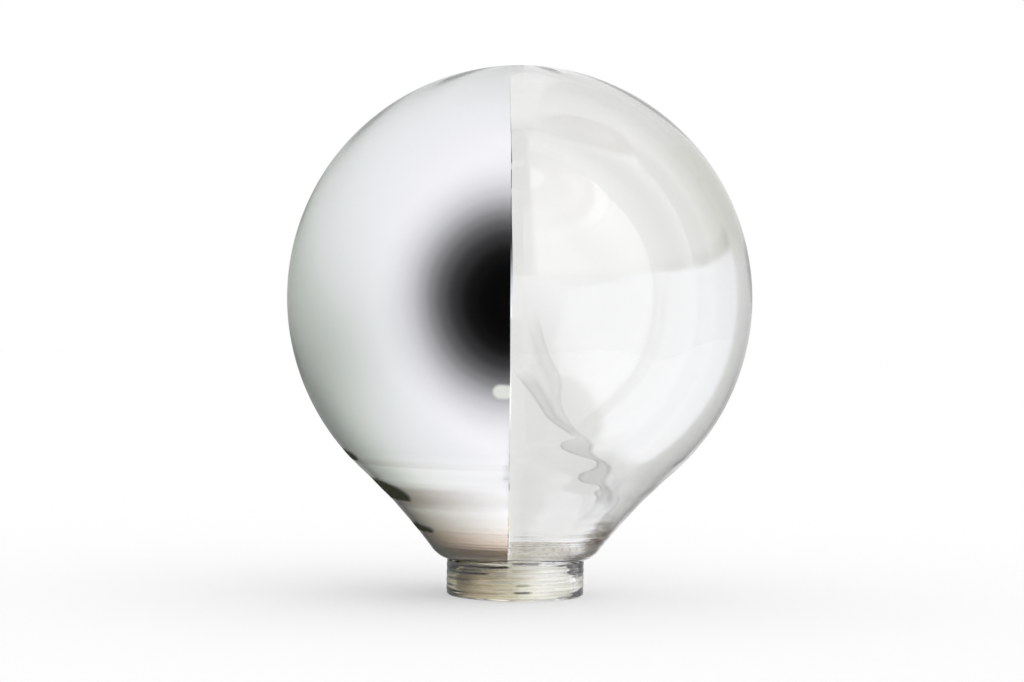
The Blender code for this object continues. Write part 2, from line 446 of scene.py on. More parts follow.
@dataclass
class GlassForm:
    """Outline of the blown glass, from the crown to the end of the neck.

    The globe's circle, a hollow flank arc and a rounded shoulder touch each other without
    an edge, and a small hollow corner leads to the plain neck inside the collar.
    """

    globe_radius: float
    globe_height: float
    neck_radius: float
    neck_end: float
    flank_radius: float = 158.0 * MM
    shoulder_radius: float = 7.4 * MM
    neck_root_radius: float = 0.6 * MM
    shoulder_foot: float = 9.5 * MM
    wall: float = 0.9 * MM
    globe_rows: int = 104
    flank_rows: int = 96
    shoulder_rows: int = 26
    root_rows: int = 6
    neck_rows: int = 12
    sag_depth: float = 0.035 * MM
    sag_waves: tuple[Wave, ...] = (Wave(0.45, 2, 1.9, 0.4), Wave(0.3, 3, -3.1, 2.0), Wave(0.25, 5, 4.3, 5.2))
    inner_depth: float = 0.025 * MM
    inner_waves: tuple[Wave, ...] = (Wave(0.6, 7, -8.0, 0.9), Wave(0.4, 11, 13.0, 3.3))
    free_gain: float = 3.0
    ring_depth: float = 0.012 * MM
    inner_ring_gain: float = 1.6
    ring_pitch: float = 1.7 * MM
    ring_top: float = 25.0 * MM
    overtone_share: float = 0.6
    overtone_rate: float = 2.3
    ring_wander: tuple[Wave, ...] = (Wave(0.25, 2, 0.0, 0.7), Wave(0.12, 5, 0.0, 0.0))
    blow_rings: tuple[BlowRing, ...] = (
        BlowRing(36.6 * MM, 0.030 * MM, 4.5 * MM),
        BlowRing(27.0 * MM, 0.075 * MM, 8.0 * MM),
        BlowRing(17.6 * MM, 0.030 * MM, 3.5 * MM),
    )

    def outline(self) -> tuple[np.ndarray, np.ndarray]:
        """Work out the outer outline and its outward normals.

        Returns:
            Points and unit normals, each as an array of rows by (radius, height).
        """
        globe = np.array([0.0, self.globe_height])
        shoulder_across = self.neck_radius + self.neck_root_radius
        shoulder = np.array([shoulder_across, self.shoulder_foot + self.shoulder_radius])
        corner = np.array([shoulder_across, self.shoulder_foot - self.neck_root_radius])
        flank = self.flank_centre(globe, shoulder)
        globe_end = self.bearing(globe, flank) - FULL_TURN
        shoulder_start = self.bearing(shoulder, flank) - FULL_TURN
        flank_start, flank_end = self.bearing(flank, globe), self.bearing(flank, shoulder)
        stretches = [
            self.stretch(globe, self.globe_radius, math.pi / 2, globe_end, self.globe_rows, 1),
            self.stretch(flank, self.flank_radius, flank_start, flank_end, self.flank_rows, -1),
            self.stretch(shoulder, self.shoulder_radius, shoulder_start, -math.pi / 2, self.shoulder_rows, 1),
            self.stretch(corner, self.neck_root_radius, math.pi / 2, math.pi, self.root_rows, -1),
        ]
        points = np.concatenate([points for points, _ in stretches])
        normals = np.concatenate([normals for _, normals in stretches])
        heights = np.linspace(corner[1], self.neck_end, self.neck_rows + 1)[1:]
        neck = np.column_stack([np.full(self.neck_rows, self.neck_radius), heights])
        sideways = np.tile([1.0, 0.0], (self.neck_rows, 1))
        return np.concatenate([points, neck]), np.concatenate([normals, sideways])

    def flank_centre(self, globe: np.ndarray, shoulder: np.ndarray) -> np.ndarray:
        """Find the centre of the arc that touches the globe and the shoulder from outside.

        Args:
            globe: Centre of the globe.
            shoulder: Centre of the shoulder's arc.

        Returns:
            The flank arc's centre, as radius and height.
        """
        way = shoulder - globe
        distance = float(np.hypot(*way))
        from_globe = self.globe_radius + self.flank_radius
        from_shoulder = self.shoulder_radius + self.flank_radius
        along = (from_globe**2 - from_shoulder**2 + distance**2) / (2 * distance)
        aside = math.sqrt(from_globe**2 - along**2)
        direction = way / distance
        return globe + along * direction + aside * np.array([-direction[1], direction[0]])

    @staticmethod
    def bearing(centre: np.ndarray, point: np.ndarray) -> float:
        """Give the angle at which a centre sees a point, from 0 to a full turn."""
        way = point - centre
        return math.atan2(way[1], way[0]) % FULL_TURN

    @staticmethod
    def stretch(centre: np.ndarray, radius: float, start: float, end: float, rows: int,
                side: int) -> tuple[np.ndarray, np.ndarray]:
        """Work out one round stretch of the outline.

        Args:
            centre: Centre of the arc.
            radius: Radius of the arc.
            start: First angle.
            end: Last angle, left to the next stretch.
            rows: Number of points.
            side: 1 where the glass bulges, -1 where it is hollow.

        Returns:
            Points and outward normals.
        """
        angles = start + (end - start) * np.arange(rows) / rows
        ways = np.column_stack([np.cos(angles), np.sin(angles)])
        return centre + radius * ways, side * ways

    def unevenness(self, wall: Wall, heights: np.ndarray, turns: np.ndarray) -> np.ndarray:
        """Give how far a blown wall strays from its true form.

        Args:
            wall: Which face of the wall.
            heights: Height of each point.
            turns: Angle of each point round the axis.

        Returns:
            Distance outward for each point.
        """
        level = (heights - self.shoulder_foot) / (self.globe_height - self.shoulder_foot)
        free = np.clip(level * self.free_gain, 0.0, 1.0)
        stray = self.sag_depth * free * sum(wave.at(turns, level) for wave in self.sag_waves)
        ring_depth = self.ring_depth
        if wall is Wall.INNER:
            stray = stray + self.inner_depth * free * sum(wave.at(turns, level) for wave in self.inner_waves)
            ring_depth = self.ring_depth * self.inner_ring_gain
        near = np.clip((self.ring_top - heights) / (self.ring_top - self.shoulder_foot), 0.0, 1.0) ** 2
        wander = sum(wave.at(turns, 0.0) for wave in self.ring_wander)
        swing = FULL_TURN * (heights / self.ring_pitch + wander)
        overtone = self.overtone_share * np.sin(self.overtone_rate * swing + 1.0)
        stray = stray + ring_depth * near * (np.sin(swing) + overtone)
        for ring in self.blow_rings:
            stray = stray + ring.at(heights, turns)
        return stray * (heights > self.shoulder_foot - 0.1 * MM)

    def surface(self, inset: float, turns: np.ndarray, wall: Wall) -> np.ndarray:
        """Lay the outline, moved inward, round the axis.

        Args:
            inset: Distance into the glass.
            turns: Angles round the axis, one row of them for all heights or one for each.
            wall: Which face's unevenness the surface follows.

        Returns:
            Points as rows by columns by three.
        """
        points, normals = self.outline()
        count = turns.shape[-1]
        turns = np.broadcast_to(turns, (len(points), count))
        heights = np.repeat(points[:, 1:], count, axis=1)
        shift = self.unevenness(wall, heights, turns) - inset
        radius = points[:, :1] + normals[:, :1] * shift
        height = heights + normals[:, 1:] * shift
        radius[0] = 0.0
        height[0] = height[0].mean()
        return np.stack([radius * np.cos(turns), radius * np.sin(turns), height], axis=-1)


@dataclass(frozen=True)
class DarkReflectionWedge:
    """A dark wedge of painted reflection on the glass beside the left outline, sharp at its foot: the tent's
    dark corner, painted as a dark matt coat where the flank would reflect it.

    It reaches from the outline inward to a bowed edge, given by its distance from the axis at
    the wedge's foot and at its top.
    """

    foot: float
    top: float
    foot_reach: float
    top_reach: float
    bow: float = 2.2
    inner_edge: Span = (-0.35 * MM, 0.45 * MM)
    foot_edge: Span = (-0.2 * MM, 0.5 * MM)
    top_edge: Span = (1.0 * MM, -0.5 * MM)
    front: Span = (3.0 * MM, 1.0 * MM)

    def mask(self, place: Place) -> Signal:
        """Give how much a point belongs to the wedge.

        Args:
            place: Where the point lies.

        Returns:
            The wedge's share.
        """
        share = place.height.between((self.foot, self.top), smooth=False) ** self.bow
        reach = share * (self.top_reach - self.foot_reach) + self.foot_reach
        inside = (-place.x - reach).between(self.inner_edge)
        above_foot = (place.height - self.foot).between(self.foot_edge)
        below_top = (place.height - self.top).between(self.top_edge)
        return inside * above_foot * below_top * place.y.between(self.front)


@dataclass(frozen=True)
class PaintedShadeBand:
    """A band of painted shade on the front of the blown wall: a dark reflection painted into the glass, which
    darkens what is seen through it.

    Its course gives, from foot to crown, triples of height, left side and right side in
    millimetres. Each side fades over its own distance, and shows darker than the middle.
    """

    course: tuple[tuple[float, float, float], ...]
    left_fade: float
    right_fade: float
    depth: float
    middle_share: float = 0.5
    side_share: float = 0.55
    side_band: Span = (1.4 * MM, 0.1 * MM)
    foot_rise: Span = (0.0, 0.12)
    top_rise: Span = (1.0, 0.74)

    def side(self, level: Signal, column: int) -> Signal:
        """Give where one side of the band lies.

        Args:
            level: 0 at the band's foot and 1 at its top.
            column: 1 for the left side, 2 for the right side.

        Returns:
            Distance to the right of the axis.
        """
        low, high = self.course[0][0], self.course[-1][0]
        lowest = min(row[column] for row in self.course)
        reach = max(row[column] for row in self.course) - lowest
        curve = add_node(level.tree, Node.CURVE, inputs={"Value": level})
        line = curve.mapping.curves[0]
        stops = [((row[0] - low) / (high - low), (row[column] - lowest) / reach) for row in self.course]
        for place, value in stops[1:-1]:
            line.points.new(place, value)
        line.points[0].location = stops[0]
        line.points[len(stops) - 1].location = stops[-1]
        curve.mapping.update()
        return Signal(level.tree, curve.outputs[0]) * (reach * MM) + lowest * MM

    def mask(self, place: Place) -> Signal:
        """Give how much a point belongs to the band.

        Args:
            place: Where the point lies.

        Returns:
            The band's share.
        """
        level = place.height.between((self.course[0][0] * MM, self.course[-1][0] * MM), smooth=False)
        from_left = place.x - self.side(level, 1)
        from_right = self.side(level, 2) - place.x
        across = from_left.between((-0.5 * self.left_fade, 0.5 * self.left_fade))
        across *= from_right.between((-0.5 * self.right_fade, 0.5 * self.right_fade))
        near_side = from_left.step("MINIMUM", from_right).between(self.side_band, self.side_share)
        ends = level.between(self.foot_rise) * level.between(self.top_rise, self.depth)
        return across * (near_side + self.middle_share) * ends * (place.y < 0.0)


@dataclass(frozen=True)
class BlownGlass:
    """Soda-lime glass, blown and clear, which gives the eye a faint grey body and bright rims."""

    name: str = "soda_lime_glass_blown_clear"
    tint: str = "F8F8F7"
    ior: float = 1.52
    swell_size: float = 22.0 * MM
    swell_depth: float = 0.02 * MM
    swell_strength: float = 0.25
    light_kept: float = 0.95
    shade_band_tone: str = "8F8F88"
    # Painted dark reflections, from the long one above the neck, over the zigzag ribbon, to the painted shade
    # along the right rim and its small mark
    painted_shade_bands: tuple[PaintedShadeBand, ...] = (
        PaintedShadeBand(((44.8, 14.4, 16.6), (46.9, 12.0, 14.6), (48.4, 9.6, 12.4), (50.4, 7.2, 10.0),
              (53.2, 5.3, 8.2), (56.6, 2.9, 6.4), (59.4, 0.6, 4.6), (62.4, -2.0, 2.8)),
             0.35 * MM, 3.0 * MM, 0.30),
        PaintedShadeBand(((45.0, 13.6, 17.0), (47.0, 11.6, 14.9), (49.5, 9.6, 12.9), (52.0, 8.4, 11.5),
              (55.2, 7.8, 10.6), (57.6, 8.0, 10.9), (60.4, 7.2, 10.5), (64.6, 5.0, 8.3),
              (70.0, 3.0, 6.3), (78.0, 1.0, 4.4)),
             3.4 * MM, 0.8 * MM, 0.14),
        PaintedShadeBand(((26.4, 17.6, 22.4), (28.4, 20.6, 24.6), (30.4, 20.0, 24.4), (31.4, 21.4, 23.6),
              (33.4, 16.6, 22.6), (34.6, 15.6, 23.2), (36.8, 19.0, 23.8), (38.2, 20.2, 23.0),
              (40.0, 17.0, 20.2), (41.6, 12.6, 18.8), (43.2, 10.8, 18.9), (44.2, 11.9, 18.2),
              (45.8, 15.0, 16.8), (47.4, 14.0, 15.6)),
             0.35 * MM, 1.8 * MM, 0.42),
        PaintedShadeBand(((22.0, 16.0, 19.5), (24.6, 18.4, 22.6), (27.2, 20.6, 25.0), (31.0, 22.2, 26.4),
              (35.0, 23.0, 27.2)),
             2.2 * MM, 2.6 * MM, 0.20),
        PaintedShadeBand(((47.0, 13.8, 17.6), (50.4, 17.4, 21.2), (53.4, 20.8, 24.8), (57.6, 24.6, 28.8),
              (62.6, 28.4, 32.6), (69.0, 31.0, 35.2), (77.0, 32.8, 36.6), (90.0, 33.0, 36.6)),
             3.2 * MM, 2.4 * MM, 0.05),
        PaintedShadeBand(((36.0, 42.0, 47.0), (40.0, 45.6, 50.5), (45.0, 49.6, 54.5), (50.0, 52.7, 58.0),
              (56.0, 55.6, 61.0), (62.0, 57.8, 63.5)),
             1.6 * MM, 1.0 * MM, 0.16),
        PaintedShadeBand(((36.2, 40.2, 41.6), (37.2, 41.9, 43.4), (38.2, 43.6, 45.0), (39.2, 45.4, 46.2)),
             0.5 * MM, 0.4 * MM, 0.85),
    )
    # Painted highlight where the neck meets the collar, on the far clear side: white rope-like strands in a
    # matt coat, with thin brown lines of painted reflection between them
    rope_highlight_tone: str = "FBF8F0"
    rope_reflection_line: str = "A8957C"
    rope_reflection_cover: float = 0.36
    rope_reflection_wave: Span = (0.20, 0.98)
    rope_highlight_strands: float = 38.0
    rope_highlight_slant: float = -5.6 / MM
    rope_highlight_cover: float = 0.85
    rope_highlight_foot: Span = (9.0 * MM, 9.7 * MM)
    rope_highlight_top: Span = (12.5 * MM, 11.9 * MM)
    rope_highlight_side: Span = (-2.2 * MM, -0.5 * MM)
    rope_highlight_far: Span = (5.0 * MM, 9.0 * MM)
    # Painted dark reflections beside the left outline: wedges of the tent's dark corner, drawn as a dark matt
    # coat
    dark_reflection_tone: str = "34362B"
    dark_reflection_cover: float = 0.97
    dark_reflection_wedges: tuple[DarkReflectionWedge, ...] = (
        DarkReflectionWedge(36.1 * MM, 38.9 * MM, 42.0 * MM, 45.3 * MM),
        DarkReflectionWedge(25.9 * MM, 31.2 * MM, 27.8 * MM, 36.6 * MM),
        DarkReflectionWedge(17.4 * MM, 19.5 * MM, 21.7 * MM, 25.9 * MM),
    )
    # The greenish edge of the thick upper right rim, darkened there as painted shade
    rim_tone_and_shade: str = "DADBC8"
    rim_cover: float = 0.45
    rim_side: Span = (0.80, 1.0)
    rim_foot: Span = (88.0 * MM, 100.0 * MM)
    rim_top: Span = (132.0 * MM, 118.0 * MM)
    # Painted reflection of the brown silvering beside the neck, on the clear side: a brown haze and thin
    # lines
    brown_reflection_tone: str = "6E5236"
    brown_reflection_cover: float = 0.95
    brown_reflection_rise: Span = (22.0 * MM, 15.5 * MM)
    brown_reflection_side: Span = (0.72, 0.95)
    brown_reflection_foot: Span = (9.0 * MM, 10.5 * MM)
    brown_reflection_streak: Span = (0.58, 0.42)
    brown_reflection_streak_share: float = 0.75
    brown_reflection_plain_share: float = 0.25
    line_scale: tuple[float, float, float] = (60.0, 60.0, 1 / (0.8 * MM))
    line_cover: float = 0.30
    line_noise: Span = (0.52, 0.62)
    line_top: Span = (16.5 * MM, 14.0 * MM)
    line_foot: Span = (10.0 * MM, 12.0 * MM)
    line_side: Span = (-0.1, 0.1)

    def material(self) -> bpy.types.Material:
        """Make the glass material, with the slow swell of a blown surface.

        Returns:
            The material.
        """
        material, tree, shader = new_material(self.name)
        place = Place(tree)
        swell = add_node(tree, Node.NOISE, inputs={
            "Vector": place.vector, "Scale": 1 / self.swell_size, "Detail": 1.0, "Roughness": 0.4})
        bump = add_node(tree, Node.BUMP, inputs={
            "Strength": self.swell_strength, "Distance": self.swell_depth, "Height": swell.outputs[0]})
        fill_inputs(tree, shader, {
            "Roughness": 0.0, "IOR": self.ior, "Transmission Weight": 1.0,
            "Base Color": self.colour(place), "Normal": bump.outputs[0]})
        # Painted reflection: dark matt wedges beside the left outline
        dark_reflection_share = self.dark_reflection_wedges[0].mask(place)
        for dark_wedge in self.dark_reflection_wedges[1:]:
            dark_reflection_share = dark_reflection_share.step("MAXIMUM", dark_wedge.mask(place))
        dark_reflection_tone = add_node(tree, Node.DIFFUSE, inputs={"Color": linear(self.dark_reflection_tone)})
        surface = add_node(tree, Node.MIX_SHADER, inputs={
            0: dark_reflection_share * self.dark_reflection_cover, 1: shader.outputs[0], 2: dark_reflection_tone.outputs[0]})
        # Painted highlight: a matt white patch of rope-like strands where the neck meets the collar
        rope_highlight = add_node(tree, Node.DIFFUSE, inputs={"Color": self.rope_highlight_colour(place)})
        surface = add_node(tree, Node.MIX_SHADER, inputs={
            0: self.rope_highlight_mask(place), 1: surface.outputs[0], 2: rope_highlight.outputs[0]})
        pass_light(tree, surface, 1.0, grey(self.light_kept))
        return material

    def rope_highlight_mask(self, place: Place) -> Signal:
        """Give where the painted highlight between neck and collar shows, on the far clear side.

        Args:
            place: Where the point lies.

        Returns:
            The highlight's share.
        """
        band = place.height.between(self.rope_highlight_foot) * place.height.between(self.rope_highlight_top, self.rope_highlight_cover)
        return band * place.x.between(self.rope_highlight_side) * place.y.between(self.rope_highlight_far)

    def rope_highlight_colour(self, place: Place) -> Tint:
        """Give the painted highlight's colour: white strands that slant round the neck, with thin brown lines
        of painted reflection between.

        Args:
            place: Where the point lies.

        Returns:
            The colour.
        """
        turn = place.y.step("ARCTAN2", place.x)
        strand = (place.height * self.rope_highlight_slant + turn * self.rope_highlight_strands).step("SINE")
        line = strand.between(self.rope_reflection_wave, self.rope_reflection_cover)
        return Tint(place.tree, linear(self.rope_highlight_tone)).mix(line, linear(self.rope_reflection_line))

    def colour(self, place: Place) -> Tint:
        """Give the glass its tint, its bands of painted dark reflection and shade, its thick rim's greenish
        edge with painted shade, and the painted brown reflection beside the neck.

        Args:
            place: Where the point lies.

        Returns:
            The colour.
        """
        colour = Tint(place.tree, linear(self.tint))
        # Bands of painted dark reflection and painted shade
        for shade_band in self.painted_shade_bands:
            colour = colour.mix(shade_band.mask(place), linear(self.shade_band_tone))
        rightness = place.x / place.radius
        # The rim's greenish edge, darker near the right outline as painted shade
        rim = rightness.between(self.rim_side) * place.height.between(self.rim_foot)
        rim *= place.height.between(self.rim_top, self.rim_cover)
        # Painted reflection of the brown silvering beside the neck: a streaked haze and thin lines
        streaks = place.noise(self.line_scale)
        brown_reflection = place.height.between(self.brown_reflection_rise, self.brown_reflection_cover) * rightness.between(self.brown_reflection_side)
        brown_reflection *= place.height.between(self.brown_reflection_foot)
        brown_reflection *= streaks.between(self.brown_reflection_streak, self.brown_reflection_streak_share) + self.brown_reflection_plain_share
        lines = streaks.between(self.line_noise, self.line_cover) * place.height.between(self.line_top)
        lines *= place.height.between(self.line_foot) * rightness.between(self.line_side)
        colour = colour.mix(rim, linear(self.rim_tone_and_shade))
        return colour.mix(brown_reflection, linear(self.brown_reflection_tone)).mix(lines, linear(self.brown_reflection_tone))


@dataclass(frozen=True)
class Silvering:
    """Vacuum-metallised aluminium on the inner wall, which thins to brown beside the collar.

    Tones are given by height in millimetres. The metal browns as it thins towards the collar, darkest from
    12 to 14 mm; its near-black stops at 7.3 and 9.0 mm are painted reflections of the thread, and its
    white from 30 to 36 mm paints the flank brighter. The share of a brown painted shade, by height,
    deepens it towards the middle of the silvered side.
    """

    name: str = "aluminium_vacuum_metallised"
    # Painted reflection and light: near-black stops at 7.3 and 9.0 mm draw the thread's reflection; white
    # from 30 to 36 mm brightens the flank
    foot_tones_and_reflections: tuple[tuple[float, str], ...] = (
        (2.0, "CDC3A9"), (6.0, "BDB298"), (7.1, "8A7D64"), (7.3, "2A241C"), (7.5, "2A241C"), (7.8, "5E5341"),
        (8.8, "5A503F"), (9.0, "15120E"), (9.4, "15120E"), (9.7, "A2967F"), (10.5, "C9C2B2"),
        (11.3, "A89A83"), (12.2, "72644F"), (13.8, "75674F"), (14.9, "D3C2AE"), (17.5, "EADFD0"),
        (20.2, "F8F6EE"), (24.5, "FDFDFB"), (30.0, "FFFFFF"), (35.5, "FFFFFF"), (40.0, "F1F2F3"))
    # Painted shade: share of a brown, by height, that darkens the silvered side towards its middle
    side_shades: tuple[tuple[float, float], ...] = (
        (2.0, 0.30), (6.5, 0.45), (8.5, 0.85), (10.5, 0.72), (12.6, 1.0), (17.5, 1.0), (18.6, 0.90),
        (20.7, 0.80), (24.4, 0.62), (25.2, 0.85), (27.0, 1.0), (29.5, 0.90), (31.4, 0.25), (32.5, 0.0),
        (35.9, 0.0), (36.4, 0.22), (38.5, 0.0))
    shade_span: Span = (1.5 * MM, 40.0 * MM)
    side_shade_tone: str = "765027"
    side_power: float = 1.3
    roughness: float = 0.01
    light_returned: float = 0.70
    ragged_depth: float = 1.6 * MM
    streak_tone: str = "4A3B2C"
    streak_scale: tuple[float, float, float] = (9.0, 9.0, 1 / (0.6 * MM))
    streak_noise: Span = (0.50, 0.34)
    streak_cover: float = 0.55
    streak_rise: Span = (21.0 * MM, 13.0 * MM)
    thin_rise: Span = (13.0 * MM, 9.6 * MM)
    thin_cover: float = 0.95
    narrow_rise: Span = (6.5 * MM, 3.5 * MM)
    narrow_gain: float = 1.6

    def material(self) -> bpy.types.Material:
        """Make the mirror material.

        Returns:
            The material.
        """
        material, tree, shader = new_material(self.name)
        place = Place(tree)
        streaks = place.noise(self.streak_scale)
        ragged = (streaks - 0.5) * self.ragged_depth + place.height
        sideways = (-place.x).step("DIVIDE", place.radius, clamp=True) ** self.side_power
        fill_inputs(tree, shader, {
            "Metallic": 1.0, "Roughness": self.roughness,
            "Base Color": self.colour(place, streaks, ragged, sideways),
            "Alpha": self.cover(place, ragged, sideways)})
        pass_light(tree, shader, self.light_returned, grey(1.0))
        return material

    def colour(self, place: Place, streaks: Signal, ragged: Signal, sideways: Signal) -> Tint:
        """Give the metal's colour, with its painted reflections and painted shade.

        Args:
            place: Where the point lies.
            streaks: Noise stretched round the axis.
            ragged: The point's height, roughened by the streaks.
            sideways: 1 at the middle of the silvered side and 0 at its upright edge.

        Returns:
            The colour.
        """
        shades = [(self.rise(height), linear(code)) for height, code in self.foot_tones_and_reflections]
        colour = ragged.between(self.shade_span, smooth=False).ramp(shades)
        # Painted shade that deepens towards the middle of the silvered side
        shares = [(self.rise(height), share) for height, share in self.side_shades]
        share = place.height.between(self.shade_span, smooth=False).ramp(shares, "EASE").level()
        colour = colour.mix(share * sideways, colour * linear(self.side_shade_tone))
        line = place.height.between(self.streak_rise) * streaks.between(self.streak_noise, self.streak_cover)
        return colour.mix(line, linear(self.streak_tone))

    def cover(self, place: Place, ragged: Signal, sideways: Signal) -> Signal:
        """Give how closed the film is. It thins out inside the collar, except at the side.

        Args:
            place: Where the point lies.
            ragged: The point's height, roughened by the streaks.
            sideways: 1 at the middle of the silvered side and 0 at its upright edge.

        Returns:
            1 where the film is closed.
        """
        narrow = sideways ** (place.height.between(self.narrow_rise, self.narrow_gain) + 1.0)
        return (ragged.between(self.thin_rise) * (narrow * self.thin_cover).rest()).rest()

    def rise(self, height: float) -> float:
        """Give a ramp place for a height in millimetres."""
        low, high = self.shade_span
        return (height * MM - low) / (high - low)


@dataclass(frozen=True)
class ThreadLine:
    """A stretch of nearly black painted reflection in the thread: its height at the front, its two ends and
    its cover.
    """

    height: float
    start: float
    end: float
    cover: float
    start_fade: Span = (-0.6 * MM, 0.8 * MM)
    end_fade: Span = (0.8 * MM, -1.2 * MM)
    edge: Span = (0.44 * MM, 0.20 * MM)

    def mask(self, place: Place, level: Signal) -> Signal:
        """Give how much a point belongs to the line.

        Args:
            place: Where the point lies.
            level: Height along the thread, at the front of the collar.

        Returns:
            The line's share.
        """
        band = abs(level - self.height).between(self.edge, self.cover)
        after_start = (place.x - self.start).between(self.start_fade)
        before_end = (place.x - self.end).between(self.end_fade)
        return band * after_start * before_end * (place.y < 0.0)


@dataclass(frozen=True)
class MouldedCollar:
    """Clear polycarbonate, injection moulded, which gives the foot its warm, slightly soft shine."""

    name: str = "polycarbonate_moulded_clear"
    # Painted shade: the warm tint by X deepens towards the silvered side, which shades the collar
    tints_and_painted_shade: tuple[tuple[float, str], ...] = (
        (-18.0, "B2A78E"), (-9.0, "E2DAC6"), (-3.0, "EEE9DA"), (1.0, "F6F3E6"), (8.0, "FFFFFA"),
        (14.0, "FFFEF8"), (18.0, "F0ECE2"))
    ior: float = 1.585
    roughness: float = 0.01
    flow_cells: float = 1 / (3.0 * MM)
    flow_depth: float = 0.02 * MM
    flow_strength: float = 0.2
    light_kept: float = 0.90
    pitch: float = 2.0 * MM
    thread_skin: Span = (17.0 * MM, 17.4 * MM)
    wobble_cells: float = 260.0
    wobble_depth: float = 0.3 * MM
    reflection_line_tone: str = "12100C"
    # Painted reflections: dark lines along the thread, faint all round and nearly black in stretches
    faint_reflection_tone: str = "6B6250"
    faint_cover: float = 0.28
    faint_wave: Span = (0.45, 0.95)
    dark_reflection_lines: tuple[ThreadLine, ...] = (
        ThreadLine(9.0 * MM, -19.0 * MM, -1.2 * MM, 1.0),
        ThreadLine(7.2 * MM, -19.0 * MM, -7.0 * MM, 1.0),
        ThreadLine(5.3 * MM, -19.0 * MM, -12.0 * MM, 0.7),
        ThreadLine(4.2 * MM, 0.2 * MM, 4.2 * MM, 0.6),
        ThreadLine(2.3 * MM, -0.4 * MM, 4.4 * MM, 0.95),
    )

    def material(self) -> bpy.types.Material:
        """Make the collar's material, with faint flow lines, and a warm tint that painted shade deepens
        towards the silvered side.

        Returns:
            The material.
        """
        material, tree, shader = new_material(self.name)
        place = Place(tree)
        low, high = self.tints_and_painted_shade[0][0], self.tints_and_painted_shade[-1][0]
        stops = [((at - low) / (high - low), linear(code)) for at, code in self.tints_and_painted_shade]
        tint = place.x.between((low * MM, high * MM), smooth=False).ramp(stops)
        bump = add_node(tree, Node.BUMP, inputs={
            "Strength": self.flow_strength, "Distance": self.flow_depth,
            "Height": place.noise((self.flow_cells,) * 3)})
        fill_inputs(tree, shader, {
            "Roughness": self.roughness, "IOR": self.ior, "Transmission Weight": 1.0,
            "Base Color": self.lined(place, tint), "Normal": bump.outputs[0]})
        pass_light(tree, shader, 1.0, grey(self.light_kept))
        return material

    def lined(self, place: Place, tint: Tint) -> Tint:
        """Paint thin dark reflections that follow the thread.

        A few stretches of them are nearly black, most of all beside the silvering, and the rest is faint.

        Args:
            place: Where the point lies.
            tint: The resin's tint, deepened by painted shade towards the silvered side.

        Returns:
            The colour.
        """
        outside = place.radius.between(self.thread_skin)
        climb = place.x.step("ARCTAN2", -place.y) * (self.pitch / FULL_TURN)
        wobble = (place.noise((self.wobble_cells,) * 3) - 0.5) * self.wobble_depth
        level = place.height - climb + wobble
        swing = (level * (2 * FULL_TURN / self.pitch)).step("SINE")
        faint = swing.between(self.faint_wave, self.faint_cover)
        colour = tint.mix(faint * outside, linear(self.faint_reflection_tone))
        for line in self.dark_reflection_lines:
            colour = colour.mix(line.mask(place, level) * outside, linear(self.reflection_line_tone))
        return colour


@dataclass
class GlobeGlass:
    """The blown envelope: both faces of its wall and the plain end of its neck."""

    form: GlassForm
    finish: BlownGlass = BlownGlass()
    columns: int = 168
    sharp_degrees: float = 40.0

    def build(self) -> bpy.types.Object:
        """Build the envelope as one closed wall and dress it.

        Returns:
            The finished piece.
        """
        turns = np.arange(self.columns) * FULL_TURN / self.columns
        outer = self.form.surface(0.0, turns, Wall.OUTER)
        inner = self.form.surface(self.form.wall, turns, Wall.INNER)[::-1]
        piece = grid_object("blown_globe", np.concatenate([outer, inner]), wraps=True, closes=False)
        tidy_mesh(piece, math.radians(self.sharp_degrees))
        piece.data.materials.append(self.finish.material())
        attach(piece, "globe_glass")
        return piece


@dataclass
class MirrorFilm:
    """The silvering: a thin closed skin on the inner wall, ended by an upright edge.

    Its lean gives pairs of height and shift of that edge, in millimetres.
    """

    form: GlassForm
    edge: float
    finish: Silvering = Silvering()
    seat: float = 0.012 * MM
    thickness: float = 0.05 * MM
    lean: tuple[tuple[float, float], ...] = ((62.0, -0.40), (120.0, 0.33), (130.0, 0.95), (142.0, 1.30))
    foot: float = 1.5 * MM
    columns: int = 90
    sharp_degrees: float = 50.0

    def edge_at(self, heights: np.ndarray) -> np.ndarray:
        """Give how far the silvering's edge lies from the axis, towards -X.

        Args:
            heights: Heights along the outline.

        Returns:
            Distance for each height. It grows towards the crown, because the mask sat askew.
        """
        levels, shifts = np.array(self.lean).T * MM
        return self.edge + np.interp(heights, levels, shifts)

    def sheet(self, inset: float) -> np.ndarray:
        """Lay one face of the skin.

        Args:
            inset: Distance from the glass's outer face.

        Returns:
            Points as rows by columns by three.
        """
        points, normals = self.form.outline()
        radius = points[:, 0] - normals[:, 0] * self.form.wall
        keep = (radius > self.edge_at(points[:, 1])) & (points[:, 1] > self.foot)
        half = np.arccos(np.clip(self.edge_at(points[:, 1]) / np.maximum(radius, 1e-6), -1.0, 1.0))
        share = np.linspace(-1.0, 1.0, self.columns + 1)
        turns = math.pi + half[:, None] * share[None, :]
        return self.form.surface(inset, turns, Wall.INNER)[keep]

    def build(self) -> bpy.types.Object:
        """Build the skin as one closed solid and dress it.

        Returns:
            The finished piece.
        """
        outer = self.sheet(self.form.wall - self.seat)
        inner = self.sheet(self.form.wall + self.thickness)
        rim = np.concatenate([outer, inner[:, ::-1]], axis=1)
        piece = grid_object("silvered_skin", rim, wraps=True, closes=False)
        tidy_mesh(piece, math.radians(self.sharp_degrees))
        piece.data.materials.append(self.finish.material())
        attach(piece, "mirror_film")
        return piece


